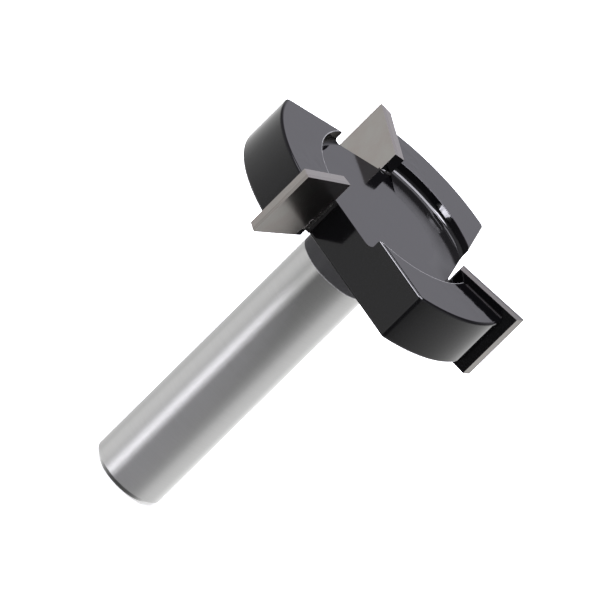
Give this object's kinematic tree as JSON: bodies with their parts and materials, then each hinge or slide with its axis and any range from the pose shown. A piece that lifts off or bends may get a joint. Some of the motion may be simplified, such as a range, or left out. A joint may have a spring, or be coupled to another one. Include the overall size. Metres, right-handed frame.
{
  "type": "surfacing router bit",
  "caption": "Wide flat router bit for planing boards: a ground steel shank carries a black disc head with brazed rectangular carbide tips.",
  "frame": {"origin": "centre of the shank's end face", "axes": "+Z along the tool's axis from the shank to the cutting face, +X towards the first tip's cutting corner"},
  "size_m": [0.0487, 0.0453, 0.0635],
  "materials": {
    "body": "gloss black coat on the head, bare ground steel on the shank",
    "carbide": "fine ground",
    "braze": "gloss black coat over silver braze"
  },
  "bodies": {
    "root": {"cutter_body": "body", "carbide_tip_1": "carbide", "carbide_tip_2": "carbide", "carbide_tip_3": "carbide", "braze_seam_1": "braze", "braze_seam_2": "braze", "braze_seam_3": "braze"}
  },
  "joints": []
}
